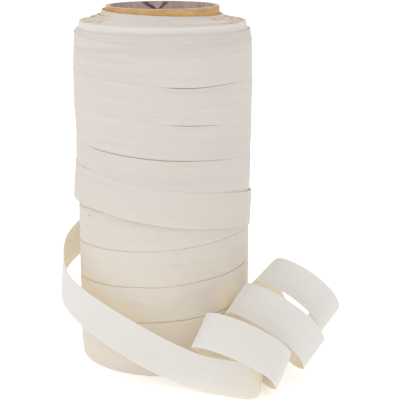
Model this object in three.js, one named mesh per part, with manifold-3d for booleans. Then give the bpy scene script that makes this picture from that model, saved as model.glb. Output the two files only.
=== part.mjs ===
// Roll of narrow cotton ribbon on a cardboard tube, standing on its end, with a loose curling end.
// Millimetres, +Z up, the front towards -Y. All pieces are laid out about the tube's axis, and the
// whole is then moved so that the origin is under the middle of its bounding box, on the floor.

import * as THREE from "three";
import { mergeVertices } from "three/addons/utils/BufferGeometryUtils.js";
import Module from "manifold-3d";

// The ribbon, and the tube that it is wound on
const RIBBON = { width: 15, thickness: 1 };
const TUBE = { height: 150, radius: 23.6, wall: 1.8 };
const GAP = 0.3;
const FACETS = 48;

// Outline of the wound body from its foot to its neck. The neck's end is a little lower at +X.
const BODY = [
  { z: 0, radius: 35.9 },
  { z: 2, radius: 36.0 },
  { z: 60, radius: 35.9 },
  { z: 90, radius: 36.2 },
  { z: 130, radius: 36.8 },
  { z: 137, radius: 36.6 },
  { z: 140.6, radius: 36.1 },
  { z: 141, radius: 35.0 },
  { z: 143.6, radius: 34.6 },
  { z: 143.9, radius: 34.2 },
  { z: 146.6, radius: 25.6 },
  { z: 147.4, radius: 25.0 },
];
const NECK = { from: 144, to: 147.4, slope: 0.036 };

// Outermost wraps, each a band let into the body. turn counts round the axis from the front
// towards +X, lower is the height of the band's lower edge, and low and high are its radii there
// and at its upper edge.
const SEAT_RADIUS = 34;
const LAYS = {
  rising: [
    { turn: -1.5, lower: 1.4, height: 14.8, low: 36.35, high: 36.35 },
    { turn: 2.4, lower: 60.8, height: 14.8, low: 36.4, high: 36.4 },
  ],
  falling: [
    { turn: -0.6, lower: 131, height: 9, low: 37.3, high: 36.7 },
    { turn: 0, lower: 121, height: 14.5, low: 37.45, high: 36.8 },
    { turn: 0.4, lower: 115, height: 14.5, low: 37.4, high: 37.2 },
    { turn: 1, lower: 106, height: 14.5, low: 37.3, high: 37.3 },
    { turn: 2, lower: 92, height: 13.5, low: 36.9, high: 36.9 },
    { turn: 2.2, lower: 88.6, height: 14, low: 36.9, high: 36.9 },
    { turn: 2.83, lower: 70, height: 15, low: 38.3, high: 38.0 },
    { turn: 3, lower: 65.2, height: 15, low: 37.9, high: 37.8 },
    { turn: 3.2, lower: 58.6, height: 15, low: 36.9, high: 36.9 },
    { turn: 3.5, lower: 49.9, height: 15, low: 37.6, high: 37.6 },
  ],
  top: [
    { turn: -0.5, lower: 131.5, height: 9.1, low: 37.15, high: 36.2 },
    { turn: 0, lower: 134.9, height: 5.7, low: 37.15, high: 36.2 },
    { turn: 0.25, lower: 136, height: 4.6, low: 37.15, high: 36.2 },
    { turn: 0.48, lower: 136.5, height: 4.1, low: 37.15, high: 36.2 },
  ],
};

// Middle of the loose end from where it leaves the roll, round the roll's left side and down
// across its front to a tight turn on the floor. lean is how far the ribbon's width lies over
// from upright, in degrees, and heading is where its top edge leans to, counted from +X to +Y.
const SWING = [
  { x: -2, y: 37.6, z: 57.4, lean: 0, heading: 0 },
  { x: -13, y: 35.3, z: 55, lean: 0, heading: 0 },
  { x: -22, y: 31.3, z: 52.8, lean: 0, heading: 0 },
  { x: -30.5, y: 25, z: 50, lean: 0, heading: 0 },
  { x: -37.5, y: 16.2, z: 46.6, lean: 1, heading: 0 },
  { x: -42.5, y: 6, z: 42.5, lean: 3, heading: 0 },
  { x: -43.8, y: -5, z: 38, lean: 5, heading: 0 },
  { x: -41.6, y: -17, z: 33.1, lean: 4, heading: 20 },
  { x: -35.5, y: -27.5, z: 29.7, lean: 4, heading: 50 },
  { x: -26, y: -36.8, z: 25.5, lean: 6, heading: 80 },
  { x: -14, y: -44, z: 20.2, lean: 6, heading: 80 },
  { x: 0, y: -48.7, z: 13.8, lean: 4, heading: 80 },
  { x: 14, y: -52.3, z: 9, lean: 2, heading: 60 },
  { x: 26.5, y: -56.4, z: 7.9, lean: 3, heading: 45 },
  { x: 35.5, y: -58.4, z: 7.9, lean: 10, heading: 45 },
  { x: 40.2, y: -53.5, z: 7.8, lean: 18, heading: 45 },
  { x: 41, y: -45.5, z: 7.8, lean: 25, heading: 45 },
  { x: 37.5, y: -37, z: 8.2, lean: 30, heading: 45 },
  { x: 29.5, y: -33, z: 10.5, lean: 35, heading: 46 },
  { x: 21, y: -36.5, z: 16.3, lean: 38, heading: 47 },
];

// Three open curls that follow it, a row for each half turn: the left and the right side of the
// first, then of the second and the third. x, y, z is the curl's middle, and across and deep are
// its half widths.
const CURLS = [
  { x: 32, y: -49.5, z: 17.1, across: 18.5, deep: 18.5, lean: 38, heading: 48 },
  { x: 32, y: -51.2, z: 16.4, across: 18.3, deep: 15.2, lean: 43, heading: 54 },
  { x: 46.3, y: -33.6, z: 21.6, across: 19.6, deep: 16, lean: 46, heading: 38 },
  { x: 46.3, y: -33, z: 21, across: 19.6, deep: 17.8, lean: 50, heading: 40 },
  { x: 56.5, y: -14, z: 27, across: 18.5, deep: 13, lean: 60, heading: 42 },
  { x: 56.3, y: -12.2, z: 26.6, across: 17.5, deep: 13, lean: 58, heading: 46 },
];
const CURL_STEP = 45;
const TAIL = { angle: 70, step: 35 };
const STEPS_PER_STATION = 4;

const CREAM = { color: 0xe1d9d0, roughness: 0.9, metalness: 0 };
const PALE = { color: 0xe1dfdb, roughness: 0.9, metalness: 0 };
const KRAFT = { color: 0xc8a064, roughness: 0.8, metalness: 0 };

const wasm = await Module();
wasm.setup();

// The mesh with shared corners merged and its faces turned outwards.
function closedShape(geometry) {
  geometry.deleteAttribute("normal");
  geometry.deleteAttribute("uv");
  const merged = mergeVertices(geometry);
  const corners = merged.getAttribute("position");
  const index = Array.from(merged.getIndex().array);
  const [a, b, c] = [new THREE.Vector3(), new THREE.Vector3(), new THREE.Vector3()];
  let volume = 0;
  for (let i = 0; i < index.length; i += 3) {
    a.fromBufferAttribute(corners, index[i]);
    b.fromBufferAttribute(corners, index[i + 1]);
    c.fromBufferAttribute(corners, index[i + 2]);
    volume += a.dot(b.cross(c));
  }
  merged.setIndex(volume < 0 ? index.reverse() : index);
  return merged;
}

// A closed profile of [radius, z] corners turned round the Z axis, starting from the front.
function turned(profile) {
  const outline = [...profile, profile[0]].map(([radius, z]) => new THREE.Vector2(radius, z));
  return new THREE.LatheGeometry(outline, FACETS).rotateX(Math.PI / 2);
}

// A bar through a row of four-cornered sections.
function swept(sections) {
  const index = [];
  const quad = (a, b, c, d) => index.push(a, b, c, a, c, d);
  const last = 4 * (sections.length - 1);
  for (let start = 0; start < last; start += 4) {
    for (let side = 0; side < 4; side++) {
      const next = (side + 1) % 4;
      quad(start + side, start + next, start + 4 + next, start + 4 + side);
    }
  }
  quad(3, 2, 1, 0);
  quad(last, last + 1, last + 2, last + 3);
  const geometry = new THREE.BufferGeometry().setFromPoints(sections.flat());
  return geometry.setIndex(index);
}

// The row of a table at a place between its rows, each column taken in proportion.
function rowAt(rows, turn) {
  const after = Math.max(1, rows.findIndex((row) => row.turn >= turn));
  const [from, to] = [rows[after - 1], rows[after]];
  const share = (turn - from.turn) / (to.turn - from.turn);
  return mixed(from, to, share);
}

function mixed(from, to, share) {
  const columns = Object.keys(from);
  return Object.fromEntries(columns.map((key) => [key, from[key] + (to[key] - from[key]) * share]));
}

function tubeShape() {
  const bore = TUBE.radius - TUBE.wall;
  const wall = [[bore, 0], [TUBE.radius, 0], [TUBE.radius, TUBE.height], [bore, TUBE.height]];
  return closedShape(turned(wall));
}

// The wound body round the tube, before its outermost wraps are added.
function bodyShape() {
  const bore = TUBE.radius + GAP;
  const outline = BODY.map(({ z, radius }) => [radius, z]);
  const body = closedShape(turned([[bore, 0], ...outline, [bore, NECK.to]]));
  const corners = body.getAttribute("position");
  for (let i = 0; i < corners.count; i++) {
    const rise = Math.max(0, corners.getZ(i) - NECK.from) / (NECK.to - NECK.from);
    corners.setZ(i, corners.getZ(i) - NECK.slope * corners.getX(i) * rise);
  }
  return body;
}

// One run of wraps: a band that climbs or falls as its table says.
function layShape(rows) {
  const sections = [];
  const first = Math.round(rows[0].turn * FACETS);
  const last = Math.round(rows[rows.length - 1].turn * FACETS);
  for (let facet = first; facet <= last; facet++) {
    const { turn, lower, height, low, high } = rowAt(rows, facet / FACETS);
    const angle = 2 * Math.PI * turn;
    const at = (radius, z) => new THREE.Vector3(radius * Math.sin(angle), -radius * Math.cos(angle), z);
    const upper = lower + height;
    sections.push([at(SEAT_RADIUS, lower), at(low, lower), at(high, upper), at(SEAT_RADIUS, upper)]);
  }
  return closedShape(swept(sections));
}

function asManifold(geometry) {
  return new wasm.Manifold(new wasm.Mesh({
    numProp: 3,
    vertProperties: new Float32Array(geometry.getAttribute("position").array),
    triVerts: new Uint32Array(geometry.getIndex().array),
  }));
}

function windingShape() {
  let whole = asManifold(bodyShape());
  for (const rows of Object.values(LAYS)) whole = whole.add(asManifold(layShape(rows)));
  const { vertProperties, triVerts } = whole.getMesh();
  const geometry = new THREE.BufferGeometry();
  geometry.setAttribute("position", new THREE.BufferAttribute(vertProperties, 3));
  return geometry.setIndex(new THREE.BufferAttribute(triVerts, 1));
}

// The direction across the ribbon, from its lower to its upper edge.
function acrossRibbon({ lean, heading }) {
  const [tilt, turn] = [lean, heading].map(THREE.MathUtils.degToRad);
  const level = Math.sin(tilt);
  return new THREE.Vector3(level * Math.cos(turn), level * Math.sin(turn), Math.cos(tilt));
}

// A station on a curl, at an angle that is 0 at its right side and 90 at its back.
function onCurl(row, angle) {
  const across = acrossRibbon(row);
  const back = new THREE.Vector3().crossVectors(across, new THREE.Vector3(1, 0, 0)).normalize();
  const right = new THREE.Vector3().crossVectors(back, across);
  const phase = THREE.MathUtils.degToRad(angle);
  const middle = new THREE.Vector3(row.x, row.y, row.z)
    .addScaledVector(right, row.across * Math.cos(phase))
    .addScaledVector(back, row.deep * Math.sin(phase));
  return { middle, across };
}

function looseStations() {
  const stations = SWING.map((row) => ({
    middle: new THREE.Vector3(row.x, row.y, row.z),
    across: acrossRibbon(row),
  }));
  CURLS.forEach((row, k) => {
    const start = k % 2 === 0 ? 180 : 0;
    const next = CURLS[k + 1] ?? row;
    const last = next === row;
    const reach = last ? TAIL.angle : 180 - CURL_STEP;
    for (let angle = 0; angle <= reach; angle += last ? TAIL.step : CURL_STEP) {
      const share = THREE.MathUtils.smoothstep(angle, 0, 180);
      stations.push(onCurl(mixed(row, next, share), start + angle));
    }
  });
  return stations;
}

// The loose end is a flat bar of the ribbon's width, with its width square to its way.
function looseEndShape() {
  const stations = looseStations();
  const smooth = (points) => new THREE.CatmullRomCurve3(points, false, "catmullrom", 0.5);
  const way = smooth(stations.map((station) => station.middle));
  const lean = smooth(stations.map((station) => station.across));
  const steps = STEPS_PER_STATION * (stations.length - 1);
  const sections = [];
  for (let step = 0; step <= steps; step++) {
    const middle = way.getPoint(step / steps);
    const along = way.getTangent(step / steps);
    const across = lean.getPoint(step / steps).projectOnPlane(along);
    const half = across.normalize().multiplyScalar(RIBBON.width / 2);
    const out = new THREE.Vector3().crossVectors(along, half).setLength(RIBBON.thickness / 2);
    const corner = (up, side) => middle.clone().addScaledVector(half, up).addScaledVector(out, side);
    sections.push([corner(-1, -1), corner(-1, 1), corner(1, 1), corner(1, -1)]);
  }
  return closedShape(swept(sections));
}

function piece(name, geometry, finish) {
  geometry.computeVertexNormals();
  const mesh = new THREE.Mesh(geometry, new THREE.MeshStandardMaterial({ ...finish, flatShading: true }));
  mesh.name = name;
  return mesh;
}

const roll = new THREE.Group();
roll.add(piece("core_tube", tubeShape(), KRAFT));
roll.add(piece("winding", windingShape(), CREAM));
roll.add(piece("loose_end", looseEndShape(), PALE));

const reach = new THREE.Box3().setFromObject(roll, true);
const middle = reach.getCenter(new THREE.Vector3());
roll.position.set(-middle.x, -middle.y, -reach.min.z);

export default roll;
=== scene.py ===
"""A roll of narrow cotton ribbon on a cardboard tube, with one loose curling end.

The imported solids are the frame. The winding, the loose end and the tube are made again here as
real ribbon and board. Tables are in millimetres about the tube's axis, and meshes are in metres.
"""

from __future__ import annotations

import logging
import math
import random
from dataclasses import dataclass, field
from enum import Enum
from functools import partial
from typing import Callable, Sequence

import bpy
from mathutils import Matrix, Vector

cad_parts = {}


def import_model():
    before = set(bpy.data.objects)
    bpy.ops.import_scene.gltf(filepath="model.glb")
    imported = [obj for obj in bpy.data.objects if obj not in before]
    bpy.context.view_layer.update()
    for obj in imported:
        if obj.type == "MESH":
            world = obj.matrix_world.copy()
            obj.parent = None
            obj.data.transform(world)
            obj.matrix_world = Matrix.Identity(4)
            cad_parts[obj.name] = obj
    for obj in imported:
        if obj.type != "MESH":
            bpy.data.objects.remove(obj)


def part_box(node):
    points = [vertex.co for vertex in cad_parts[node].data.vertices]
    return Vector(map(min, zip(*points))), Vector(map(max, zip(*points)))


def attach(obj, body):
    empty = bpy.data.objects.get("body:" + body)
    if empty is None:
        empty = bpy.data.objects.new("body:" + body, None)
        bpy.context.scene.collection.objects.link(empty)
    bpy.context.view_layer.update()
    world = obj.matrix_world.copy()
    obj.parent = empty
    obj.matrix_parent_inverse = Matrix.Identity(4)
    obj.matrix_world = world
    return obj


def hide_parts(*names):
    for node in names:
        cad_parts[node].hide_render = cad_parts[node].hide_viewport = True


LOG = logging.getLogger("ribbon_roll")
MM = 0.001
FULL_TURN = 2 * math.pi
CLOTH_MAP = "cloth"

Colour = tuple[float, float, float, float]
Sections = Sequence[Sequence[Vector]]

WOUND_LIGHT: Colour = (0.66, 0.61, 0.57, 1)
WOUND_STREAK: Colour = (0.59, 0.54, 0.495, 1)
# A yellower tint that the wound cotton takes on towards the bottom of the roll.
WOUND_LOW_TINT: Colour = (0.70, 0.64, 0.555, 1)
LEAVING_TONE: Colour = (0.645, 0.575, 0.49, 1)
# A lighter copy of the wound cotton for the neck: painted light on the shoulder's front.
NECK_PAINTED_LIGHT: Colour = (0.74, 0.695, 0.655, 1)
LOOSE_LIGHT: Colour = (0.685, 0.67, 0.645, 1)
LOOSE_STREAK: Colour = (0.645, 0.625, 0.595, 1)
# The loose end's inner side: a brighter, warmer copy of its cotton, as painted warm bounce light inside the
# curls.
INNER_BOUNCE_LIGHT: Colour = (0.84, 0.765, 0.63, 1)
INNER_BOUNCE_STREAK: Colour = (0.78, 0.70, 0.56, 1)
KRAFT_LIGHT: Colour = (0.64, 0.41, 0.17, 1)
KRAFT_DARK: Colour = (0.47, 0.27, 0.10, 1)
LINING_LIGHT: Colour = (0.61, 0.49, 0.45, 1)
LINING_DARK: Colour = (0.36, 0.27, 0.24, 1)
RIM_LIGHT: Colour = (0.66, 0.53, 0.46, 1)
RIM_DARK: Colour = (0.46, 0.34, 0.28, 1)
# The dark sheet at the torn lining: darker under-ply, and painted shadow in the gap round the tongue.
TORN_SHADE_LIGHT: Colour = (0.23, 0.17, 0.15, 1)
TORN_SHADE_DARK: Colour = (0.13, 0.095, 0.08, 1)
TONGUE_LIGHT: Colour = (0.58, 0.47, 0.43, 1)
TONGUE_DARK: Colour = (0.36, 0.275, 0.25, 1)
SPECK_BROWN: Colour = (0.16, 0.09, 0.05, 1)
SEAM_BROWN: Colour = (0.22, 0.12, 0.05, 1)

# Where the loose end starts: how far before the last wrap's end, and at which radius
LEAD_TURNS = 0.022
LEAD_RADIUS = 37.47
# The line where two plies of the board meet: its direction and how far out it lies, in metres
KRAFT_SEAM = ((0.80, -0.42, 0.43), 86.1 * MM)


class Slot(Enum):
    """The record's material slots."""

    BOARD = "tube_board"
    WOUND = "wound_cotton"
    LOOSE = "loose_cotton"


@dataclass(frozen=True)
class Ribbon:
    """The ribbon's own sizes, in millimetres."""

    width: float = 15.0
    thickness: float = 0.32
    groove: float = 0.35


@dataclass(frozen=True)
class Wrap:
    """A row of a lay: where its lower edge runs, and its radii at both edges, in millimetres.

    turn counts round the axis from the front towards +X.
    """

    turn: float
    lower: float
    low: float
    high: float


@dataclass(frozen=True)
class EndRow:
    """A ring on the roll's upper end: its radius, and its height in front and at the sides."""

    radius: float
    front: float
    side: float


@dataclass(frozen=True)
class Crease:
    """A faint step in the outer wraps, between two angles in degrees.

    first and last are its heights at its ends, and step is how far it stands out.
    """

    start: float
    end: float
    first: float
    last: float
    step: float
    fade: float = 5
    sway: float = 0.4
    waves: float = 9
    rise: float = 0.3
    reach: float = 5

    def push(self, degrees: float, height: float) -> float:
        """How far the crease pushes the surface out at an angle and a height.

        Args:
            degrees: The angle from the front.
            height: The height, in millimetres.

        Returns:
            The push, in millimetres.
        """
        place = ((degrees - self.start) % 360) / (self.end - self.start)
        if place >= 1:
            return 0.0
        line = self.first + (self.last - self.first) * smoothed(place)
        ends = smoothed(self.fade * place) * smoothed(self.fade * (1 - place))
        above = height - line - self.sway * math.sin(self.waves * place + self.first)
        return self.step * ends * smoothed(above / self.rise + 0.5) * smoothed(1.3 - above / self.reach)


@dataclass(frozen=True)
class HiddenEdge:
    """Edges of older wraps that show through: their climb for each turn, and how far apart they are.

    start is the height of one of them in front, and step is how far it stands out.
    """

    climb: float
    pitch: float
    start: float
    step: float


@dataclass(frozen=True)
class Sway:
    """A slow unevenness of the surface: its waves round the roll, its slant and its shift."""

    waves: int
    slant: float
    shift: float


@dataclass(frozen=True)
class Speck:
    """A brown seed speck: its radius, its angle in degrees, its height and its strength."""

    radius: float
    degrees: float
    height: float
    strength: float


@dataclass(frozen=True)
class Groove:
    """The gap above a falling wrap's upper edge at a turn. Less than 0 is an overlap."""

    turn: float
    gap: float


@dataclass(frozen=True)
class Station:
    """A place on the loose end's middle line, and the lean of its width, in degrees."""

    x: float
    y: float
    z: float
    lean: float
    heading: float


@dataclass(frozen=True)
class Curl:
    """One side of a curl: its middle, its half widths, and the lean of the ribbon's width."""

    x: float
    y: float
    z: float
    across: float
    deep: float
    lean: float
    heading: float


# Wraps that climb from the foot
RISING = (
    Wrap(-1.65, 1.0, 34.9, 34.9),
    Wrap(-1.5, 1.6, 36.1, 36.1),
    Wrap(-1.0, 8.8, 36.4, 36.35),
    Wrap(-0.5, 16.6, 36.4, 36.35),
    Wrap(-0.05, 23.3, 36.4, 36.35),
    Wrap(0.02, 24.6, 36.4, 36.35),
    Wrap(0.5, 31.6, 36.35, 36.3),
    Wrap(0.94, 38.5, 36.4, 36.3),
    Wrap(1.01, 39.3, 36.4, 36.3),
    Wrap(1.1, 41.2, 36.4, 36.3),
    Wrap(1.5, 47.4, 36.4, 36.3),
    Wrap(1.84, 52.7, 36.4, 36.3),
    Wrap(1.97, 54.0, 36.4, 36.3),
    Wrap(2.12, 56.7, 36.4, 36.3),
    Wrap(2.2, 57.3, 36.4, 36.3),
    Wrap(2.4, 58.8, 36.3, 36.2),
    Wrap(2.55, 60.0, 35.0, 35.0),
)
# Wraps that come down from the shoulder, the last of which leads to the loose end
FALLING = (
    Wrap(-0.75, 131.5, 35.2, 35.0),
    Wrap(-0.6, 130.0, 36.9, 36.4),
    Wrap(-0.4, 127.5, 37.3, 36.7),
    Wrap(-0.15, 123.4, 37.4, 36.75),
    Wrap(0.0, 121.0, 37.4, 36.75),
    Wrap(0.06, 120.4, 37.4, 36.75),
    Wrap(0.17, 120.9, 37.4, 36.9),
    Wrap(0.23, 119.7, 37.4, 37.0),
    Wrap(0.5, 114.2, 37.4, 37.3),
    Wrap(0.92, 108.7, 37.3, 37.52),
    Wrap(1.02, 106.0, 37.3, 37.5),
    Wrap(1.13, 104.4, 37.2, 37.5),
    Wrap(1.21, 102.3, 37.1, 37.5),
    Wrap(1.5, 99.0, 36.9, 37.45),
    Wrap(1.84, 94.8, 36.7, 37.42),
    Wrap(2.0, 92.0, 36.7, 37.42),
    Wrap(2.15, 89.7, 36.8, 37.3),
    Wrap(2.4, 85.5, 36.9, 37.0),
    Wrap(2.7, 81.0, 37.1, 36.9),
    Wrap(2.86, 79.2, 37.2, 36.95),
    Wrap(3.0, 76.7, 37.1, 37.05),
    Wrap(3.21, 73.0, 36.7, 37.0),
    Wrap(3.5, 71.5, 37.1, 36.9),
    Wrap(3.7, 71.2, 38.1, 37.2),
    Wrap(3.81, 70.2, 38.6, 37.5),
    Wrap(3.87, 69.7, 38.5, 37.5),
    Wrap(3.95, 67.0, 38.1, 37.45),
    Wrap(4.03, 64.0, 37.5, 37.4),
    Wrap(4.13, 61.0, 37.1, 37.4),
    Wrap(4.21, 58.1, 37.0, 37.55),
    Wrap(4.3, 55.2, 37.1, 37.4),
    Wrap(4.5, 49.9, 37.6, 37.6),
)
# The short wrap just under the shoulder
TOP = (
    Wrap(-1.35, 131.5, 35.0, 35.0),
    Wrap(-1.2, 132.0, 36.7, 36.0),
    Wrap(-0.5, 133.0, 37.1, 36.15),
    Wrap(-0.1, 133.2, 37.12, 36.15),
    Wrap(0.02, 135.2, 37.12, 36.15),
    Wrap(0.08, 136.1, 37.1, 36.15),
    Wrap(0.2, 135.6, 37.1, 36.15),
    Wrap(0.4, 134.6, 36.8, 36.0),
    Wrap(0.55, 134.2, 35.0, 35.0),
)

SPECKS = (
    Speck(36.6, -56.5, 65.0, 0.75),
    Speck(36.6, -58.8, 59.8, 0.45),
    Speck(37.45, -1.7, 109.3, 0.2),
    Speck(37.4, 1.8, 126.8, 0.16),
    Speck(37.4, 26.5, 112.6, 0.16),
    Speck(37.1, 162.0, 96.0, 0.4),
    Speck(36.6, 128.0, 41.0, 0.3),
)
GROOVES = (
    Groove(-1.0, 0.25),
    Groove(0.6, 0.2),
    Groove(0.85, -0.15),
    Groove(0.98, -0.1),
    Groove(1.04, 0.3),
    Groove(1.1, 0.15),
    Groove(1.25, -0.12),
    Groove(1.5, 0.2),
    Groove(1.8, -0.15),
    Groove(1.98, -0.1),
    Groove(2.05, 0.24),
    Groove(2.14, -0.05),
    Groove(2.5, 0.2),
    Groove(2.82, -0.1),
    Groove(2.9, 0.26),
    Groove(3.02, 0.4),
    Groove(3.07, 0.1),
    Groove(3.25, -0.1),
    Groove(5.0, -0.1),
)
HIDDEN_EDGES = (HiddenEdge(13.0, 15.3, 4.0, 0.12), HiddenEdge(-17.0, 14.2, 9.0, 0.1))
SWAYS = (Sway(3, 0.11, 0.0), Sway(2, -0.07, 1.3))

# The open end's profile, from its outer edge in to the tube
SHOULDER = (
    EndRow(34.3, 143.8, 143.7),
    EndRow(31.5, 145.1, 144.2),
    EndRow(28.5, 146.2, 144.9),
    EndRow(26.1, 146.9, 145.6),
    EndRow(25.4, 147.1, 147.0),
    EndRow(23.9, 147.4, 147.3),
)
# Creases in front, and then at the back
CREASES = (
    Crease(-70, 35, 139.6, 141.0, 0.3),
    Crease(-62, 20, 137.4, 138.4, 0.26),
    Crease(-40, 80, 141.9, 139.9, 0.28),
    Crease(-5, 85, 136.9, 138.9, 0.3),
    Crease(-66, -12, 135.2, 136.6, 0.22),
    Crease(-52, 8, 132.6, 131.8, 0.22),
    Crease(10, 70, 129.8, 131.0, 0.2),
    Crease(-75, -20, 128.3, 127.4, 0.18),
    Crease(-45, 5, 113.5, 112.2, 0.14),
    Crease(-20, 60, 98.8, 97.2, 0.14),
    Crease(-60, -5, 78.2, 75.6, 0.16),
    Crease(15, 80, 68.4, 65.6, 0.14),
    Crease(-50, 20, 61.4, 60.0, 0.14),
    Crease(-30, 45, 47.2, 48.6, 0.16),
    Crease(-40, 25, 31.0, 33.4, 0.16),
    Crease(-35, 40, 12.8, 14.6, 0.18),
    Crease(110, 250, 104.0, 98.5, 0.2),
    Crease(130, 230, 63.0, 60.2, 0.18),
    Crease(100, 210, 28.4, 32.8, 0.2),
)

# The loose end from where it leaves the roll to its tight turn on the floor
SWING = (
    Station(-2, 37.5, 57.2, 0, 0),
    Station(-13, 35.3, 55, 0, 0),
    Station(-22, 31.3, 52.8, 0, 0),
    Station(-30.5, 25, 50, 0, 0),
    Station(-37.5, 16.2, 46.6, 1, 0),
    Station(-42.5, 6, 42.5, 3, 0),
    Station(-43.8, -5, 38, 5, 0),
    Station(-41.6, -17, 33.1, 4, 20),
    Station(-35.5, -27.5, 29.7, 4, 50),
    Station(-26, -36.8, 25.5, 6, 80),
    Station(-14, -44, 20.2, 6, 80),
    Station(0, -48.7, 13.8, 4, 80),
    Station(14, -52.3, 9, 2, 60),
    Station(26.5, -56.4, 7.9, 3, 45),
    Station(35.5, -58.4, 7.9, 10, 45),
    Station(40.2, -53.5, 7.8, 18, 45),
    Station(41, -45.5, 7.8, 25, 45),
    Station(37.5, -37, 8.2, 30, 45),
    Station(29.5, -33, 10.5, 35, 46),
    Station(21, -36.5, 16.3, 38, 47),
)
# The three curls that follow, a row for each half turn
CURLS = (
    Curl(32, -49.5, 17.1, 18.5, 18.5, 38, 48),
    Curl(32, -51.2, 16.4, 18.3, 15.2, 43, 54),
    Curl(46.3, -33.6, 21.6, 19.6, 16, 46, 38),
    Curl(46.3, -33, 21, 19.6, 17.8, 50, 40),
    Curl(56.5, -14, 27, 18.5, 13, 60, 42),
    Curl(56.3, -12.2, 26.6, 17.5, 13, 58, 46),
)


def deselect_all() -> None:
    """Leaves nothing selected."""
    for other in bpy.context.selected_objects:
        other.select_set(False)


def select_only(piece: bpy.types.Object) -> None:
    """Selects one object and makes it the active one.

    Args:
        piece: The object.
    """
    deselect_all()
    piece.select_set(True)
    bpy.context.view_layer.objects.active = piece


def smoothed(share: float) -> float:
    """Eases a share from 0 to 1 at both of its ends."""
    share = min(1.0, max(0.0, share))
    return share * share * (3 - 2 * share)


def hermite(start: float, end: float, leave: float, arrive: float, share: float) -> float:
    """A cubic from start to end with the given slopes, at a share of the way.

    Args:
        start: The value at 0.
        end: The value at 1.
        leave: The slope at 0.
        arrive: The slope at 1.
        share: The share of the way.

    Returns:
        The value there.
    """
    s2, s3 = share * share, share * share * share
    return (
        (2 * s3 - 3 * s2 + 1) * start
        + (s3 - 2 * s2 + share) * leave
        + (3 * s2 - 2 * s3) * end
        + (s3 - s2) * arrive
    )


def catmull_rom(points: Sequence[Vector], steps: int) -> list[Vector]:
    """A smooth line through points, with even steps between each two of them.

    Args:
        points: The places it goes through.
        steps: Steps between two of them.

    Returns:
        The line's points, the last one included.
    """
    ends = [2 * points[0] - points[1], *points, 2 * points[-1] - points[-2]]
    line: list[Vector] = []
    for before, start, end, after in zip(ends, ends[1:], ends[2:], ends[3:]):
        leave, arrive = (end - before) / 2, (after - start) / 2
        for step in range(steps):
            share = step / steps
            line.append(Vector(
                hermite(start[i], end[i], leave[i], arrive[i], share) for i in range(3)
            ))
    line.append(points[-1].copy())
    return line


def loft(
    name: str,
    sections: Sections,
    across: Sequence[float],
    along: Sequence[float],
    ring: bool = False,
) -> bpy.types.Object:
    """A closed body through closed sections, with a cloth map in metres.

    Args:
        name: The object's name.
        sections: Equal rows of corners, in metres, each a closed loop.
        across: The map's first coordinate of each corner, and once more for the first corner.
        along: The map's second coordinate of each section, and once more if it is a ring.
        ring: Joins the last section to the first, where otherwise both ends are capped.

    Returns:
        The new object, at the origin, with its faces pointing out.
    """
    count = len(sections[0])
    rows = len(sections)
    corners = [tuple(corner) for section in sections for corner in section]
    faces: list[tuple[int, ...]] = []
    places: list[tuple[float, float]] = []
    for row in range(rows if ring else rows - 1):
        following = (row + 1) % rows
        for side in range(count):
            beside = (side + 1) % count
            faces.append((
                row * count + side, row * count + beside,
                following * count + beside, following * count + side,
            ))
            places += [
                (across[side], along[row]), (across[side + 1], along[row]),
                (across[side + 1], along[row + 1]), (across[side], along[row + 1]),
            ]
    if not ring:
        last = (rows - 1) * count
        faces.append(tuple(reversed(range(count))))
        places += [(across[side], along[0]) for side in reversed(range(count))]
        faces.append(tuple(range(last, last + count)))
        places += [(across[side], along[-1]) for side in range(count)]
    mesh = bpy.data.meshes.new(name)
    mesh.from_pydata(corners, [], faces)
    mesh.uv_layers.new(name=CLOTH_MAP).data.foreach_set("uv", [v for place in places for v in place])
    if signed_volume(mesh) < 0:
        mesh.flip_normals()
    piece = bpy.data.objects.new(name, mesh)
    bpy.context.scene.collection.objects.link(piece)
    return piece


def signed_volume(mesh: bpy.types.Mesh) -> float:
    """Six times the volume that the mesh's faces enclose, negative when they point in.

    Args:
        mesh: A closed mesh.

    Returns:
        The signed volume, times six.
    """
    mesh.calc_loop_triangles()
    points = [vertex.co for vertex in mesh.vertices]
    return sum(
        points[a].dot(points[b].cross(points[c]))
        for a, b, c in (triangle.vertices for triangle in mesh.loop_triangles)
    )


def shade_by_angle(piece: bpy.types.Object, degrees: float) -> None:
    """Shades smoothly but for edges sharper than an angle.

    Args:
        piece: The object.
        degrees: The angle.
    """
    select_only(piece)
    bpy.ops.object.shade_smooth_by_angle(angle=math.radians(degrees))
    deselect_all()


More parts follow.
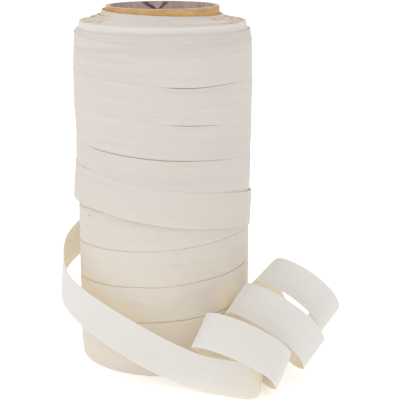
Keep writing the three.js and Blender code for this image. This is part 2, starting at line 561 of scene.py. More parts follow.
class NodeTree:
    """Short ways to build one material's nodes."""

    def __init__(self, name: str) -> None:
        """Starts a material with one Principled shader.

        Args:
            name: The material's name.
        """
        self.material = bpy.data.materials.new(name)
        self.material.use_nodes = True
        self.tree = self.material.node_tree
        self.shader = next(n for n in self.tree.nodes if n.type == "BSDF_PRINCIPLED")

    def add(self, kind: str, inputs: dict | None = None, **settings: object) -> bpy.types.Node:
        """Adds a node.

        Args:
            kind: The node's type, without its ShaderNode prefix.
            inputs: Socket names or numbers, each with a value or an output socket.
            settings: Properties of the node.

        Returns:
            The node.
        """
        node = self.tree.nodes.new("ShaderNode" + kind)
        for key, value in settings.items():
            setattr(node, key, value)
        for key, value in (inputs or {}).items():
            self.put(node.inputs[key], value)
        return node

    def put(self, socket: bpy.types.NodeSocket, value: object) -> None:
        """Links an output to a socket, or sets its value.

        Args:
            socket: The input.
            value: An output socket, or a plain value.
        """
        if isinstance(value, bpy.types.NodeSocket):
            self.tree.links.new(value, socket)
        else:
            socket.default_value = value

    def math(self, operation: str, *values: object) -> bpy.types.NodeSocket:
        """The result of a Math node."""
        return self.add("Math", dict(enumerate(values)), operation=operation).outputs[0]

    def scaled(self, source: bpy.types.NodeSocket, scale: Sequence[float]) -> bpy.types.NodeSocket:
        """Coordinates multiplied by a scale on each axis."""
        return self.add("Mapping", {"Vector": source, "Scale": tuple(scale)}).outputs[0]

    def noise(self, place: bpy.types.NodeSocket, scale: float, detail: float = 3.0) -> bpy.types.NodeSocket:
        """A noise value from about 0 to 1."""
        inputs = {"Vector": place, "Scale": scale, "Detail": detail, "Roughness": 0.6}
        return self.add("TexNoise", inputs).outputs[0]

    def ramp(self, value: bpy.types.NodeSocket, low: float, high: float) -> bpy.types.NodeSocket:
        """A value's range low to high stretched to 0 to 1, and held at both ends."""
        inputs = {"Value": value, "From Min": low, "From Max": high}
        return self.add("MapRange", inputs, clamp=True).outputs[0]

    def mix(self, share: object, first: object, second: object, blend: str = "MIX") -> bpy.types.NodeSocket:
        """Two colours mixed.

        Args:
            share: How much of the second colour.
            first: The first colour.
            second: The second colour.
            blend: The Mix node's blend type.

        Returns:
            The mixed colour.
        """
        node = self.add("Mix", data_type="RGBA", blend_type=blend)
        self.put(node.inputs[0], share)
        self.put(node.inputs[6], first)
        self.put(node.inputs[7], second)
        return node.outputs[2]

    def bump(self, height: bpy.types.NodeSocket, strength: float, distance: float) -> None:
        """Sends a height to the shader's normal."""
        inputs = {"Height": height, "Strength": strength, "Distance": distance}
        self.put(self.shader.inputs["Normal"], self.add("Bump", inputs).outputs[0])


@dataclass(frozen=True)
class CottonFinish:
    """Undyed cotton tape: fine ribs along it, faint streaks, and painted warm bounce light in its hollows.
    """

    name: str
    light: Colour
    streak: Colour
    # A brighter, warmer colour as painted bounce light, mixed in where ambient occlusion finds cover within
    # its reach.
    painted_bounce: Colour = (0.96, 0.86, 0.70, 1)
    bounce_reach: float = 18 * MM
    open_share: float = 0.8
    closed_share: float = 0.2
    lit_foot: float = 0.0
    thin: bool = False
    light_depth: float = 1.6 * MM
    rib: float = 0.42 * MM
    roughness: float = 0.85
    specks: tuple[tuple[float, float, float, float], ...] = ()
    speck_size: float = 0.62 * MM
    low_tint: Colour | None = None
    low_tint_from: float = 95 * MM
    low_tint_to: float = 35 * MM
    joined_tone: Colour | None = None
    joined_reach: float = 70 * MM
    streak_scale: tuple[float, float, float] = (2600, 26, 1)
    broad_scale: tuple[float, float, float] = (420, 9, 1)
    cloud_scale: tuple[float, float, float] = (60, 22, 1)
    slub_scale: tuple[float, float, float] = (1800, 90, 1)
    light_share: float = 0.45
    light_spread: tuple[float, float, float] = (1.0, 0.95, 0.87)
    sheen: float = 0.1
    sheen_roughness: float = 0.5
    specular: float = 0.25
    relief: float = 0.4
    relief_depth: float = 0.07 * MM

    def build(self) -> bpy.types.Material:
        """Makes the material.

        Returns:
            The material.
        """
        nodes = NodeTree(self.name)
        place = nodes.add("UVMap", uv_map=CLOTH_MAP).outputs[0]
        colour = self.tone(nodes, place)
        # Painted warm bounce light: the brighter, warmer colour goes where ambient occlusion finds the
        # surface sheltered.
        shelter = nodes.add("AmbientOcclusion", {"Distance": self.bounce_reach}, samples=8).outputs["AO"]
        share = nodes.ramp(shelter, self.open_share, self.closed_share)
        # lit_foot fades the painted bounce light out near the floor.
        if self.lit_foot:
            here = nodes.add("TexCoord").outputs["Object"]
            height = nodes.add("SeparateXYZ", {"Vector": here}).outputs[2]
            share = nodes.math("MULTIPLY", share, nodes.ramp(height, 0.0, self.lit_foot))
        colour = nodes.mix(share, colour, self.painted_bounce)
        for speck in self.specks:
            colour = self.with_speck(nodes, colour, speck)
        nodes.put(nodes.shader.inputs["Base Color"], colour)
        nodes.put(nodes.shader.inputs["Roughness"], self.roughness)
        if self.thin:
            nodes.put(nodes.shader.inputs["Subsurface Weight"], self.light_share)
            nodes.put(nodes.shader.inputs["Subsurface Radius"], self.light_spread)
            nodes.put(nodes.shader.inputs["Subsurface Scale"], self.light_depth)
        nodes.put(nodes.shader.inputs["Sheen Weight"], self.sheen)
        nodes.put(nodes.shader.inputs["Sheen Roughness"], self.sheen_roughness)
        nodes.put(nodes.shader.inputs["Specular IOR Level"], self.specular)
        nodes.bump(self.weave(nodes, place), self.relief, self.relief_depth)
        return nodes.material

    def tone(self, nodes: NodeTree, place: bpy.types.NodeSocket) -> bpy.types.NodeSocket:
        """The cotton's colour: streaks along it, soft clouds, and its slow changes, yellower towards the
        bottom and towards the join with the roll.

        Args:
            nodes: The material's nodes.
            place: The cloth map's coordinates.

        Returns:
            The colour.
        """
        streaks = nodes.noise(nodes.scaled(place, self.streak_scale), 1.0, 4.0)
        broad = nodes.noise(nodes.scaled(place, self.broad_scale), 1.0, 3.0)
        clouds = nodes.noise(nodes.scaled(place, self.cloud_scale), 1.0, 2.0)
        share = nodes.math("MULTIPLY", streaks, 0.5)
        share = nodes.math("ADD", share, nodes.math("MULTIPLY", broad, 0.35))
        share = nodes.math("ADD", share, nodes.math("MULTIPLY", clouds, 0.3))
        colour = nodes.mix(nodes.ramp(share, 0.4, 0.8), self.light, self.streak)
        # Yellower towards the bottom, blended in by height with a cloudy edge.
        if self.low_tint:
            here = nodes.add("TexCoord").outputs["Object"]
            height = nodes.add("SeparateXYZ", {"Vector": here}).outputs[2]
            uneven = nodes.math("ADD", height, nodes.math("MULTIPLY", clouds, 20 * MM))
            colour = nodes.mix(nodes.ramp(uneven, self.low_tint_from, self.low_tint_to), colour, self.low_tint)
        if self.joined_tone:
            travelled = nodes.add("SeparateXYZ", {"Vector": place}).outputs[1]
            colour = nodes.mix(nodes.ramp(travelled, self.joined_reach, 0.0), colour, self.joined_tone)
        return colour

    def weave(self, nodes: NodeTree, place: bpy.types.NodeSocket) -> bpy.types.NodeSocket:
        """The height of the ribs and of the threads that cross them.

        Args:
            nodes: The material's nodes.
            place: The cloth map's coordinates.

        Returns:
            The height, as a number.
        """
        axes = nodes.add("SeparateXYZ", {"Vector": place})
        ribs = nodes.math("SINE", nodes.math("MULTIPLY", axes.outputs[0], FULL_TURN / self.rib))
        threads = nodes.math("SINE", nodes.math("MULTIPLY", axes.outputs[1], FULL_TURN / (self.rib * 1.2)))
        slubs = nodes.noise(nodes.scaled(place, self.slub_scale), 1.0, 3.0)
        raised = nodes.math("ADD", ribs, nodes.math("MULTIPLY", threads, 0.5))
        return nodes.math("ADD", raised, nodes.math("MULTIPLY", slubs, 3.0))

    def with_speck(
        self, nodes: NodeTree, colour: bpy.types.NodeSocket, speck: Sequence[float]
    ) -> bpy.types.NodeSocket:
        """Adds one brown seed speck at a place on the object.

        Args:
            nodes: The material's nodes.
            colour: The colour so far.
            speck: Its place in metres, and then its strength.

        Returns:
            The colour with the speck in it.
        """
        here = nodes.add("TexCoord").outputs["Object"]
        place, strength = tuple(speck[:3]), speck[3]
        gap = nodes.add("VectorMath", {0: here, 1: place}, operation="DISTANCE").outputs["Value"]
        share = nodes.ramp(gap, self.speck_size, 0.4 * self.speck_size)
        return nodes.mix(nodes.math("MULTIPLY", share, strength), colour, SPECK_BROWN)


@dataclass(frozen=True)
class LayerEdgeFinish:
    """The rough beige look of many ribbon edges on the roll's ends."""

    name: str = "layer_edges"
    light: Colour = (0.74, 0.665, 0.575, 1)
    dark: Colour = (0.42, 0.34, 0.25, 1)

    def build(self) -> bpy.types.Material:
        """Makes the material.

        Returns:
            The material.
        """
        nodes = NodeTree(self.name)
        here = nodes.add("TexCoord").outputs["Object"]
        tufts = nodes.noise(here, 900, 5.0)
        clouds = nodes.noise(here, 160, 3.0)
        share = nodes.math("MULTIPLY", nodes.ramp(tufts, 0.4, 0.75), nodes.ramp(clouds, 0.35, 0.65))
        nodes.put(nodes.shader.inputs["Base Color"], nodes.mix(share, self.light, self.dark))
        nodes.put(nodes.shader.inputs["Roughness"], 0.95)
        nodes.put(nodes.shader.inputs["Specular IOR Level"], 0.15)
        nodes.bump(tufts, 0.6, 0.3 * MM)
        return nodes.material


@dataclass(frozen=True)
class BoardFinish:
    """Cardboard: fibres and faint marks over one tone of board, and a seam where plies meet."""

    name: str
    light: Colour
    dark: Colour
    fibre: tuple[float, float, float] = (220, 220, 900)
    roughness: float = 0.75
    seam: tuple[tuple[float, float, float], float] | None = None
    seam_width: float = 0.5 * MM

    def build(self) -> bpy.types.Material:
        """Makes the material.

        Returns:
            The material.
        """
        nodes = NodeTree(self.name)
        here = nodes.add("TexCoord").outputs["Object"]
        fibres = nodes.noise(nodes.scaled(here, self.fibre), 1.0, 5.0)
        marks = nodes.noise(here, 160, 4.0)
        tone = nodes.math("ADD", nodes.math("MULTIPLY", fibres, 0.6), nodes.math("MULTIPLY", marks, 0.6))
        colour = nodes.mix(nodes.ramp(tone, 0.45, 0.78), self.light, self.dark)
        if self.seam:
            across, reach = self.seam
            along = nodes.add("VectorMath", {0: here, 1: across}, operation="DOT_PRODUCT").outputs["Value"]
            gap = nodes.math("ABSOLUTE", nodes.math("SUBTRACT", along, reach))
            share = nodes.math("MULTIPLY", nodes.ramp(gap, self.seam_width, 0.0), 0.75)
            colour = nodes.mix(share, colour, SEAM_BROWN)
        nodes.put(nodes.shader.inputs["Base Color"], colour)
        nodes.put(nodes.shader.inputs["Roughness"], self.roughness)
        nodes.put(nodes.shader.inputs["Specular IOR Level"], 0.3)
        nodes.bump(fibres, 0.35, 0.2 * MM)
        return nodes.material


@dataclass(frozen=True)
class FloorFinish:
    """The plain pale floor."""

    name: str = "pale_floor"
    colour: Colour = (0.93, 0.93, 0.93, 1)
    glow: float = 0.3

    def build(self) -> bpy.types.Material:
        """Makes the material.

        Returns:
            The material.
        """
        nodes = NodeTree(self.name)
        nodes.put(nodes.shader.inputs["Base Color"], self.colour)
        nodes.put(nodes.shader.inputs["Emission Color"], self.colour)
        nodes.put(nodes.shader.inputs["Emission Strength"], self.glow)
        nodes.put(nodes.shader.inputs["Roughness"], 0.9)
        nodes.put(nodes.shader.inputs["Specular IOR Level"], 0.1)
        return nodes.material


class Lay:
    """A run of wraps read from its table as one smooth track."""

    def __init__(self, rows: Sequence[Wrap]) -> None:
        """Keeps the table.

        Args:
            rows: The lay's rows, in the order of their turns.
        """
        self.rows = rows

    @property
    def start(self) -> float:
        """The turn at which the lay starts."""
        return self.rows[0].turn

    @property
    def end(self) -> float:
        """The turn at which the lay ends."""
        return self.rows[-1].turn

    def value(self, column: str, turn: float) -> float:
        """A column of the table at any turn, on a smooth line through its rows.

        Args:
            column: The column's name.
            turn: The turn.

        Returns:
            The value there.
        """
        rows = self.rows
        turn = min(self.end, max(self.start, turn))
        at = next(i for i in range(1, len(rows)) if rows[i].turn >= turn or i == len(rows) - 1)
        before, after = rows[at - 1], rows[at]
        span = after.turn - before.turn
        slopes = [self.slope(column, at - 1) * span, self.slope(column, at) * span]
        share = (turn - before.turn) / span
        return hermite(getattr(before, column), getattr(after, column), slopes[0], slopes[1], share)

    def slope(self, column: str, row: int) -> float:
        """The column's rise for each turn at one row."""
        first, last = self.rows[max(0, row - 1)], self.rows[min(len(self.rows) - 1, row + 1)]
        return (getattr(last, column) - getattr(first, column)) / (last.turn - first.turn)


@dataclass
class Roll:
    """The wound ribbon: its older layers, its layered ends and its outermost wraps."""

    axis: Vector
    ribbon: Ribbon = field(default_factory=Ribbon)
    bore: float = 23.9
    facets: int = 216
    layer: float = 0.42
    seed: int = 7
    wall: tuple[tuple[float, float], ...] = (
        (35.6, 0.2), (35.9, 1.0), (35.9, 60), (36.2, 90), (36.5, 128), (36.3, 137), (36.05, 140.4),
        (35.9, 140.75), (35.0, 140.9), (34.8, 142.5), (34.65, 143.6),
    )
    neck_slope: float = 0.036
    soft_front: tuple[float, float] = (34.0, 62.0)
    falling_top: float = 139.8
    top_edge: float = 140.7
    last_turn: float = 3.3
    over_turns: float = 0.3
    stretch: float = 3.0
    edge_drop: float = 0.06
    edge_power: int = 14
    edge_rise: float = 0.06
    lay_relief: float = 0.8
    wall_relief: float = 0.5
    sway_depth: float = 0.05
    foot: float = 1
    foot_edge: float = 0.45
    foot_stray: float = 0.35
    ledge_half: float = 0.49
    shoulder_stray: float = 0.26
    front_stray: float = 0.12
    neck_rise: float = 3.7
    neck_margin: float = 0.1
    rough_front: float = 0.04
    rough_side: float = 0.1
    open_from: float = 0.45
    smooth_margin: float = 0.5

    def at(self, radius: float, angle: float, height: float) -> Vector:
        """A point from its radius, its angle from the front and its height, in metres."""
        across = Vector((radius * math.sin(angle), -radius * math.cos(angle), height))
        return across * MM + self.axis

    def relief(self, angle: float, height: float) -> float:
        """How far hidden edges below push the surface out, in millimetres.

        Args:
            angle: The angle from the front, in radians.
            height: The height, in millimetres.

        Returns:
            The push.
        """
        turn = angle / FULL_TURN
        pushed = 0.0
        for edge in HIDDEN_EDGES:
            share = ((height - edge.start - edge.climb * turn) / edge.pitch) % 1.0
            pushed += edge.step * (smoothed(share / self.edge_rise) - share)
        degrees = math.degrees(angle)
        for crease in CREASES:
            pushed += crease.push(degrees, height)
        sway = sum(math.sin(row.waves * angle + row.slant * height + row.shift) for row in SWAYS)
        return pushed + self.sway_depth * sway

    def build(self) -> list[bpy.types.Object]:
        """Makes the roll's pieces: the layers first, then the rising, falling and top wraps.

        Returns:
            The pieces.
        """
        rising, falling, top = Lay(RISING), Lay(FALLING), Lay(TOP)
        return [
            self.build_layers(),
            self.build_lay("rising_wraps", rising, partial(self.upper_rising, rising), rows=40),
            self.build_lay("falling_wraps", falling, partial(self.upper_falling, falling), rows=44),
            self.build_lay("top_wraps", top, lambda turn: self.top_edge, rows=52),
        ]

    def build_layers(self) -> bpy.types.Object:
        """The older layers: the bore, both ends as rings of ribbon edges, and the wall.

        Returns:
            The piece.
        """
        chance = random.Random(self.seed)
        foot = self.foot_ledges(chance)
        wall = [(radius, height, height) for radius, height in self.wall]
        shoulder = self.shoulder_ledges(chance)
        outline = [(self.bore, 0.6, 0.6), *foot, *wall, *shoulder]
        outline.append((self.bore, shoulder[-1][1], shoulder[-1][2]))
        waves = [
            [chance.uniform(-1, 1) for _ in range(3)] + [chance.uniform(0, FULL_TURN) for _ in range(3)]
            for _ in outline
        ]
        neck = self.wall[-1][1]
        sections = []
        for facet in range(self.facets):
            angle = FULL_TURN * facet / self.facets
            share = self.side_share(angle)
            section = []
            for (radius, front, side), wave in zip(outline, waves):
                height = front + (side - front) * share
                lean = self.neck_slope * radius * math.sin(angle)
                tilt = lean * max(0.0, height - neck) / self.neck_rise
                depth = self.rough_front + self.rough_side * share
                rough = depth * self.uneven(wave, angle) if height > neck else 0.0
                on_wall = self.foot < height < neck
                bulge = self.wall_relief * self.relief(angle, height) if on_wall else 0.0
                section.append(self.at(radius + bulge, angle, height - tilt + rough))
            sections.append(section)
        steps = [0.0]
        for first, second in zip(outline, [*outline[1:], outline[0]]):
            steps.append(steps[-1] + math.dist(first[:2], second[:2]) * MM)
        along = [FULL_TURN * self.wall[0][0] * MM * k / self.facets for k in range(self.facets + 1)]
        piece = loft("wound_layers", sections, steps, along, ring=True)
        self.mark_ends(piece, neck)
        shade_by_angle(piece, 35)
        return piece

    @staticmethod
    def uneven(wave: Sequence[float], angle: float) -> float:
        """A ring's unevenness at an angle, from its three amplitudes and then its three phases."""
        pairs = zip(wave, wave[3:])
        return sum(much * math.sin((k + 2) * angle + phase) for k, (much, phase) in enumerate(pairs))

    def side_share(self, angle: float) -> float:
        """How far the upper end has changed from its smooth front to its open sides.

        Args:
            angle: The angle from the front, in radians.

        Returns:
            0 in front and 1 at the open sides.
        """
        turned = abs((math.degrees(angle) + 180) % 360 - 180)
        low, high = self.soft_front
        return smoothed((turned - low) / (high - low))

    def radii(self) -> list[float]:
        """The radius of every layer, from the bore outwards.

        Returns:
            The radii, in millimetres.
        """
        inner = self.bore + 0.3
        count = int((self.wall[-1][0] - inner) / self.layer)
        return [inner + self.layer * k for k in range(count + 1)]

    def foot_ledges(self, chance: random.Random) -> list[tuple[float, float, float]]:
        """Radius and heights of each layer's edge on the foot, outwards.

        Args:
            chance: The random numbers.

        Returns:
            Each corner's radius, and its height in front and at the sides.
        """
        corners = []
        half = self.ledge_half * self.layer
        for radius in self.radii():
            height = chance.uniform(0.0, self.foot_stray)
            corners += [(radius - half, height, height), (radius + half, height, height)]
        return corners

    def shoulder_ledges(self, chance: random.Random) -> list[tuple[float, float, float]]:
        """Radius and heights of each layer's edge on the shoulder, inwards.

        Args:
            chance: The random numbers.

        Returns:
            Each corner's radius, and its height in front and at the sides.
        """
        corners = []
        half = self.ledge_half * self.layer
        for radius in reversed(self.radii()):
            front, side = self.shoulder_heights(radius)
            stray = chance.gauss(0, self.shoulder_stray)
            front, side = front + self.front_stray * stray, side + stray
            corners += [(radius + half, front, side), (radius - half, front, side)]
        return corners

    @staticmethod
    def shoulder_heights(radius: float) -> tuple[float, float]:
        """The shoulder's mean heights at a radius, in front and at the sides.

        Args:
            radius: The radius, in millimetres.

        Returns:
            Both heights.
        """
        for outer, inner in zip(SHOULDER, SHOULDER[1:]):
            if radius >= inner.radius:
                share = min(1.0, max(0.0, (outer.radius - radius) / (outer.radius - inner.radius)))
                return (
                    outer.front + (inner.front - outer.front) * share,
                    outer.side + (inner.side - outer.side) * share,
                )
        return SHOULDER[-1].front, SHOULDER[-1].side

    def mark_ends(self, piece: bpy.types.Object, neck: float) -> None:
        """Gives the ends their own materials: 1 for open layers' edges, 2 for the smooth neck, whose
        lighter copy of the cotton is painted light.

        Args:
            piece: The layers.
            neck: The height at which the wall ends, in millimetres.
        """
        for face in piece.data.polygons:
            place = (face.center - self.axis) / MM
            share = self.side_share(math.atan2(place.x, -place.y))
            if place.z < self.foot_edge or (place.z > neck - self.neck_margin and share > self.open_from):
                face.material_index = 1
            else:
                face.material_index = 2 if place.z > self.falling_top + self.smooth_margin else 0

    def upper_rising(self, lay: Lay, turn: float) -> float:
        """The upper edge of a rising wrap, which the next turn covers.

        Args:
            lay: The rising wraps' track.
            turn: The turn.

        Returns:
            Its height, in millimetres.
        """
        full = lay.value("lower", turn) + self.ribbon.width
        if turn + 1 <= lay.end:
            return min(full, lay.value("lower", turn + 1) - self.ribbon.groove)
        return full

    def upper_falling(self, lay: Lay, turn: float) -> float:
        """The upper edge of a falling wrap: close under the turn before, and the last one over it.

        Args:
            lay: The falling wraps' track.
            turn: The turn.

        Returns:
            Its height, in millimetres.
        """
        full = lay.value("lower", turn) + self.ribbon.width
        if turn - 1 < lay.start:
            return min(full, self.falling_top)
        beside = lay.value("lower", turn - 1) - self.groove(turn)
        tucked = beside if beside - full < self.stretch else full
        over = smoothed((turn - self.last_turn) / self.over_turns)
        return min(tucked + (full - tucked) * over, self.falling_top)

    @staticmethod
    def groove(turn: float) -> float:
        """The gap above a falling wrap's upper edge, from the table of grooves.

        Args:
            turn: The turn.

        Returns:
            The gap, in millimetres.
        """
        for here, following in zip(GROOVES, GROOVES[1:]):
            if turn <= following.turn:
                share = smoothed((turn - here.turn) / (following.turn - here.turn))
                return here.gap + (following.gap - here.gap) * share
        return GROOVES[-1].gap

    def build_lay(
        self, name: str, lay: Lay, upper: Callable[[float], float], rows: int
    ) -> bpy.types.Object:
        """One lay as a closed band.

        Args:
            name: The piece's name.
            lay: The lay's track.
            upper: The height of its upper edge at a turn.
            rows: How many rows of faces lie across the ribbon.

        Returns:
            The band.
        """
        count = round((lay.end - lay.start) * self.facets)
        shares = [k / rows for k in range(rows + 1)]
        sections, along = [], []
        for step in range(count + 1):
            turn = lay.start + (lay.end - lay.start) * step / count
            angle = FULL_TURN * turn
            lower, high_edge = lay.value("lower", turn), upper(turn)
            low, high = lay.value("low", turn), lay.value("high", turn)
            outer, inner = [], []
            for share in shares:
                height = lower + (high_edge - lower) * share
                edge = self.edge_drop * (abs(2 * share - 1) ** self.edge_power)
                pushed = self.relief(angle, height) * self.lay_relief
                radius = low + (high - low) * share + pushed - edge
                outer.append(self.at(radius, angle, height))
                inner.append(self.at(radius - self.ribbon.thickness, angle, height))
            sections.append(outer + [inner[-1], inner[0]])
            along.append(angle * low * MM)
        across = [share * self.ribbon.width * MM for share in shares]
        across += [across[-1] + self.ribbon.thickness * MM, -self.ribbon.thickness * MM, 0.0]
        piece = loft(name, sections, across, along)
        shade_by_angle(piece, 40)
        return piece


@dataclass
class LooseEnd:
    """The free end: it swings round the roll and across its front, and lies in three curls."""

    axis: Vector
    lead: Vector
    ribbon: Ribbon = field(default_factory=Ribbon)
    steps: int = 12
    rows_across: int = 14
    curl_step: int = 45
    tail: tuple[int, int] = (70, 35)

    def stations(self) -> list[tuple[Vector, Vector]]:
        """Middle and across direction at each station, in millimetres about the axis.

        Returns:
            The stations, from the roll to the free tip.
        """
        found = [(Vector((s.x, s.y, s.z)), self.across(s.lean, s.heading)) for s in SWING]
        for number, curl in enumerate(CURLS):
            start = 180 if number % 2 == 0 else 0
            last = number == len(CURLS) - 1
            following = curl if last else CURLS[number + 1]
            reach, step = self.tail if last else (180 - self.curl_step, self.curl_step)
            for angle in range(0, reach + 1, step):
                share = smoothed(angle / 180)
                found.append(self.on_curl(self.between(curl, following, share), start + angle))
        return found

    @staticmethod
    def across(lean: float, heading: float) -> Vector:
        """The direction from the ribbon's lower to its upper edge.

        Args:
            lean: How far its width lies over from upright, in degrees.
            heading: Where its top leans to, in degrees from +X to +Y.

        Returns:
            The direction, of length 1.
        """
        tilt, turn = math.radians(lean), math.radians(heading)
        level = math.sin(tilt)
        return Vector((level * math.cos(turn), level * math.sin(turn), math.cos(tilt)))

    @staticmethod
    def between(first: Curl, second: Curl, share: float) -> Curl:
        """The row that lies at a share of the way between two rows."""
        pairs = zip(vars(first).values(), vars(second).values())
        return Curl(*(a + (b - a) * share for a, b in pairs))

    def on_curl(self, curl: Curl, degrees: float) -> tuple[Vector, Vector]:
        """A station on a curl, at an angle that is 0 at its right side and 90 at its back.

        Args:
            curl: The curl's row.
            degrees: The angle.

        Returns:
            Its middle and its across direction.
        """
        across = self.across(curl.lean, curl.heading)
        back = across.cross(Vector((1, 0, 0))).normalized()
        right = back.cross(across)
        phase = math.radians(degrees)
        middle = Vector((curl.x, curl.y, curl.z))
        middle += right * curl.across * math.cos(phase) + back * curl.deep * math.sin(phase)
        return middle, across

    def mark_inner(self, piece: bpy.types.Object, spans: int) -> None:
        """Gives the side that faces into the curls the piece's second material, which paints warm bounce
        light on it.

        Args:
            piece: The sheet.
            spans: How many spans lie between its sections.
        """
        around = 2 * (self.rows_across + 1)
        for number, face in enumerate(piece.data.polygons):
            side = number % around
            inner = self.rows_across < side < around - 1 and number < spans * around
            face.material_index = 1 if inner else 0

    def build(self) -> bpy.types.Object:
        """Makes the sheet.

        Returns:
            The sheet.
        """
        stations = [(self.lead, self.across(0, 0)), *self.stations()]
        way = catmull_rom([middle for middle, _ in stations], self.steps)
        leans = catmull_rom([across for _, across in stations], self.steps)
        shares = [k / self.rows_across - 0.5 for k in range(self.rows_across + 1)]
        sections, along = [], []
        travelled = 0.0
        for number, middle in enumerate(way):
            before, after = way[max(0, number - 1)], way[min(len(way) - 1, number + 1)]
            ahead = (after - before).normalized()
            across = leans[number] - ahead * leans[number].dot(ahead)
            across.normalize()
            out = ahead.cross(across) * self.ribbon.thickness / 2
            travelled += (middle - way[max(0, number - 1)]).length
            rows = [middle + across * self.ribbon.width * share for share in shares]
            outer = [(row + out) * MM + self.axis for row in rows]
            inner = [(row - out) * MM + self.axis for row in reversed(rows)]
            sections.append(outer + inner)
            along.append(travelled * MM)
        width = [(share + 0.5) * self.ribbon.width * MM for share in shares]
        across_map = [*width, *reversed(width), width[0]]
        piece = loft("loose_ribbon", sections, across_map, along)
        self.mark_inner(piece, len(way) - 1)
        shade_by_angle(piece, 50)
        LOG.info("the loose end is %.0f mm long", travelled)
        return piece


@dataclass
class Tube:
    """The cardboard tube: kraft outside, a pale cut rim, and a grey lining torn at the back."""

    axis: Vector
    height: float = 150.0
    radius: float = 23.6
    wall: float = 1.8
    facets: int = 128
    softened: float = 0.25
    tongue_rows: int = 16
    tongue_columns: int = 12
    under_rim: float = 0.35
    ragged: float = 0.22
    narrowest: float = 0.15
    cupped: float = 0.25
    map_steps: tuple[float, float] = (0.5, 0.2)
    rim_slope: float = 0.3
    lining_share: float = 0.3

    def build(self) -> bpy.types.Object:
        """Models the tube from a cylinder's wall.

        Returns:
            The tube.
        """
        bpy.ops.mesh.primitive_cylinder_add(
            vertices=self.facets,
            radius=self.radius * MM,
            depth=self.height * MM,
            end_fill_type="NOTHING",
            location=(self.axis.x, self.axis.y, self.height * MM / 2),
        )
        piece = bpy.context.view_layer.objects.active
        piece.name = "board_tube"
        piece.data.name = "board_tube"
        bpy.ops.object.transform_apply(location=True, rotation=False, scale=False)
        wall = piece.modifiers.new("wall", "SOLIDIFY")
        wall.thickness = self.wall * MM
        wall.offset = -1
        bpy.ops.object.modifier_apply(modifier=wall.name)
        soften = piece.modifiers.new("soften", "BEVEL")
        soften.width = self.softened * MM
        soften.segments = 3
        soften.limit_method = "ANGLE"
        bpy.ops.object.modifier_apply(modifier=soften.name)
        self.mark_faces(piece)
        shade_by_angle(piece, 35)
        return piece

    def build_torn_ply(self) -> tuple[bpy.types.Object, bpy.types.Object]:
        """The lining's torn tongue at the back of the rim, and a dark sheet round it: the darker under-ply,
        with painted shadow in the gap.

        Returns:
            The dark sheet with its painted shadow, and the tongue.
        """
        tear_and_shade = self.build_tongue(
            "torn_groove", base=(-10.2, 1.9), tip=(-3.0, 145.6), lift=(0.12, 0.5), thickness=0.16
        )
        tongue = self.build_tongue(
            "torn_tongue", base=(-7.6, -0.2), tip=(-2.7, 146.5), lift=(0.45, 1.9), thickness=0.3
        )
        return tear_and_shade, tongue

    def build_tongue(
        self,
        name: str,
        base: tuple[float, float],
        tip: tuple[float, float],
        lift: tuple[float, float],
        thickness: float,
    ) -> bpy.types.Object:
        """A ragged three-cornered flap on the bore's back wall.

        Args:
            name: The piece's name.
            base: Where its base starts and ends along the wall, under the rim.
            tip: Its tip, along the wall and in height.
            lift: How far it stands off the wall at its base and at its tip.
            thickness: The ply's thickness.

        Returns:
            The flap.
        """
        inner = self.radius - self.wall
        top, rows, columns = self.height - self.under_rim, self.tongue_rows, self.tongue_columns
        chance = random.Random(len(name))
        sections = []
        for row in range(rows + 1):
            share = row / rows
            left = base[0] + (tip[0] - base[0]) * share + chance.uniform(-self.ragged, self.ragged)
            right = base[1] + (tip[0] - base[1]) * share + chance.uniform(-self.ragged, self.ragged)
            right = max(right, left + self.narrowest)
            height = top + (tip[1] - top) * share
            stand = lift[0] + (lift[1] - lift[0]) * share * share
            front, back = [], []
            for column in range(columns + 1):
                across = left + (right - left) * column / columns
                cup = self.cupped * math.sin(math.pi * column / columns)
                reach = inner - stand - cup
                angle = across / inner
                front.append(self.at(reach, angle, height))
                back.append(self.at(reach + thickness, angle, height))
            sections.append(front + list(reversed(back)))
        across_step, along_step = self.map_steps
        around = [k * across_step * MM for k in range(2 * columns + 3)]
        piece = loft(name, sections, around, [k * along_step * MM for k in range(rows + 1)])
        shade_by_angle(piece, 45)
        return piece

    def at(self, radius: float, angle: float, height: float) -> Vector:
        """A point in the bore, its angle counted from the back, in metres."""
        return Vector((radius * math.sin(angle), radius * math.cos(angle), height)) * MM + self.axis

    def mark_faces(self, piece: bpy.types.Object) -> None:
        """Gives the outside, the rims and the lining their own material.

        Args:
            piece: The tube.
        """
        middle = Vector((self.axis.x, self.axis.y))
        inner = (self.radius - self.wall) * MM
        for face in piece.data.polygons:
            if abs(face.normal.z) > self.rim_slope:
                face.material_index = 1
            elif (face.center.xy - middle).length < inner + self.lining_share * self.wall * MM:
                face.material_index = 2
            else:
                face.material_index = 0


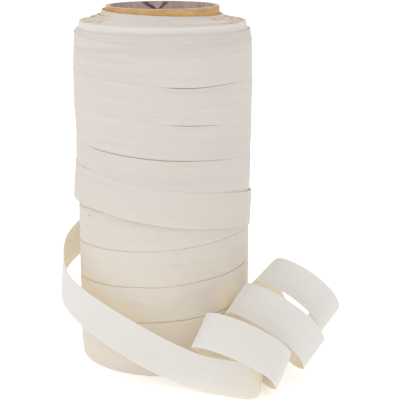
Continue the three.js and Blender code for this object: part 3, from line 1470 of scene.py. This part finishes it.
@dataclass
class Studio:
    """The pale floor, the soft light and the camera at the photograph's view."""

    axis: Vector
    lens: float = 105.0
    tilt: float = 13.838
    place: tuple[float, float, float] = (15.5, -488.3, 187.0)
    sky: float = 1.0
    key: float = 1.4
    floor_size: float = 12
    lamp_size: float = 0.7
    lamp_place: tuple[float, float, float] = (-0.75, -0.7, 0.75)
    lamp_aim: tuple[float, float, float] = (0, 0, 0.07)

    def build(self) -> None:
        """Makes the floor, the lights and the camera."""
        self.build_camera()
        self.build_floor()
        self.build_light()

    def build_camera(self) -> None:
        """Sets the camera."""
        data = bpy.data.cameras.new("camera")
        data.lens = self.lens
        camera = bpy.data.objects.new("camera", data)
        camera.location = Vector(self.place) * MM + self.axis
        camera.rotation_euler = (math.radians(90 - self.tilt), 0, 0)
        bpy.context.scene.collection.objects.link(camera)
        bpy.context.scene.camera = camera

    def build_floor(self) -> None:
        """Lays the floor."""
        bpy.ops.mesh.primitive_plane_add(size=self.floor_size, location=(0, 0, 0))
        floor = bpy.context.view_layer.objects.active
        floor.name = "floor"
        floor.data.materials.append(FloorFinish().build())
        deselect_all()

    def build_light(self) -> None:
        """Sets an even white sky and one large soft lamp from the left."""
        world = bpy.data.worlds.new("sky")
        world.use_nodes = True
        sky = next(n for n in world.node_tree.nodes if n.type == "BACKGROUND")
        sky.inputs["Color"].default_value = (1.0, 1.0, 1.0, 1)
        sky.inputs["Strength"].default_value = self.sky
        scene = bpy.context.scene
        scene.world = world
        scene.view_settings.view_transform = "Standard"
        data = bpy.data.lights.new("key", "AREA")
        data.size = self.lamp_size
        data.energy = self.key
        lamp = bpy.data.objects.new("key", data)
        lamp.location = Vector(self.lamp_place) + self.axis
        aim = self.axis + Vector(self.lamp_aim) - lamp.location
        lamp.rotation_euler = aim.to_track_quat("-Z", "Y").to_euler()
        scene.collection.objects.link(lamp)


def dress(piece: bpy.types.Object, finishes: Sequence[bpy.types.Material]) -> None:
    """Gives a piece its materials and its body.

    Args:
        piece: The finished piece.
        finishes: Its materials, in the order of its faces' numbers.
    """
    for finish in finishes:
        piece.data.materials.append(finish)
    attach(piece, "root")
    LOG.info("%s has %d faces", piece.name, len(piece.data.polygons))


def build_roll(axis: Vector) -> Roll:
    """Builds and dresses the wound ribbon.

    Args:
        axis: The tube's axis on the floor.

    Returns:
        The roll that the pieces come from.
    """
    roll = Roll(axis)
    specks = tuple(
        (*roll.at(speck.radius, math.radians(speck.degrees), speck.height), speck.strength)
        for speck in SPECKS
    )
    # The wound cotton carries painted warm bounce light in its hollows.
    wound = CottonFinish(
        "wound_cotton", WOUND_LIGHT, WOUND_STREAK, specks=specks, low_tint=WOUND_LOW_TINT, lit_foot=22 * MM
    ).build()
    layers, *lays = roll.build()
    # The neck's lighter cotton, with less painted bounce in its hollows, is painted light.
    neck = CottonFinish("neck_cotton_painted_light", NECK_PAINTED_LIGHT, WOUND_LIGHT, open_share=0.45)
    dress(layers, [wound, LayerEdgeFinish().build(), neck.build()])
    for lay in lays:
        dress(lay, [wound])
    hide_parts("winding")
    return roll


def build_loose_end(axis: Vector, roll: Roll) -> None:
    """Builds and dresses the loose end, which starts in the last wrap's own thickness.

    Args:
        axis: The tube's axis on the floor.
        roll: The roll that it leaves.
    """
    falling = Lay(FALLING)
    turn = falling.end - LEAD_TURNS
    lead_height = falling.value("lower", turn) + roll.ribbon.width / 2
    lead = (roll.at(LEAD_RADIUS, FULL_TURN * turn, lead_height) - axis) / MM
    loose = LooseEnd(axis, lead).build()
    outer = CottonFinish(
        "loose_cotton", LOOSE_LIGHT, LOOSE_STREAK, thin=True, joined_tone=LEAVING_TONE
    )
    # The inner side's finish is painted warm bounce light from the curls.
    inner = CottonFinish(
        "loose_cotton_inside_painted_bounce", INNER_BOUNCE_LIGHT, INNER_BOUNCE_STREAK, thin=True, bounce_reach=26 * MM
    )
    dress(loose, [outer.build(), inner.build()])
    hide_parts("loose_end")


def build_tube(axis: Vector) -> None:
    """Builds and dresses the cardboard tube and its torn lining.

    Args:
        axis: The tube's axis on the floor.
    """
    maker = Tube(axis)
    tube = maker.build()
    kraft = BoardFinish("kraft_board", KRAFT_LIGHT, KRAFT_DARK, seam=KRAFT_SEAM)
    rim = BoardFinish("cut_rim", RIM_LIGHT, RIM_DARK)
    lining = BoardFinish("grey_lining", LINING_LIGHT, LINING_DARK, fibre=(500, 500, 60))
    dress(tube, [kraft.build(), rim.build(), lining.build()])
    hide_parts("core_tube")
    tear_and_shade, tongue = maker.build_torn_ply()
    # A dark sheet for the darker under-ply, with painted shadow in the torn gap.
    dress(tear_and_shade, [BoardFinish("torn_shade", TORN_SHADE_LIGHT, TORN_SHADE_DARK).build()])
    dress(tongue, [BoardFinish("torn_board", TONGUE_LIGHT, TONGUE_DARK).build()])


def main() -> None:
    """Builds the studio and the roll's pieces in order."""
    logging.basicConfig(level=logging.INFO, format="%(name)s: %(message)s")
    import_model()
    deselect_all()
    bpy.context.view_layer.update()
    low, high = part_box("core_tube")
    axis = Vector(((low[0] + high[0]) / 2, (low[1] + high[1]) / 2, 0))

    Studio(axis).build()
    roll = build_roll(axis)
    build_loose_end(axis, roll)
    build_tube(axis)


if __name__ == "__main__":
    main()
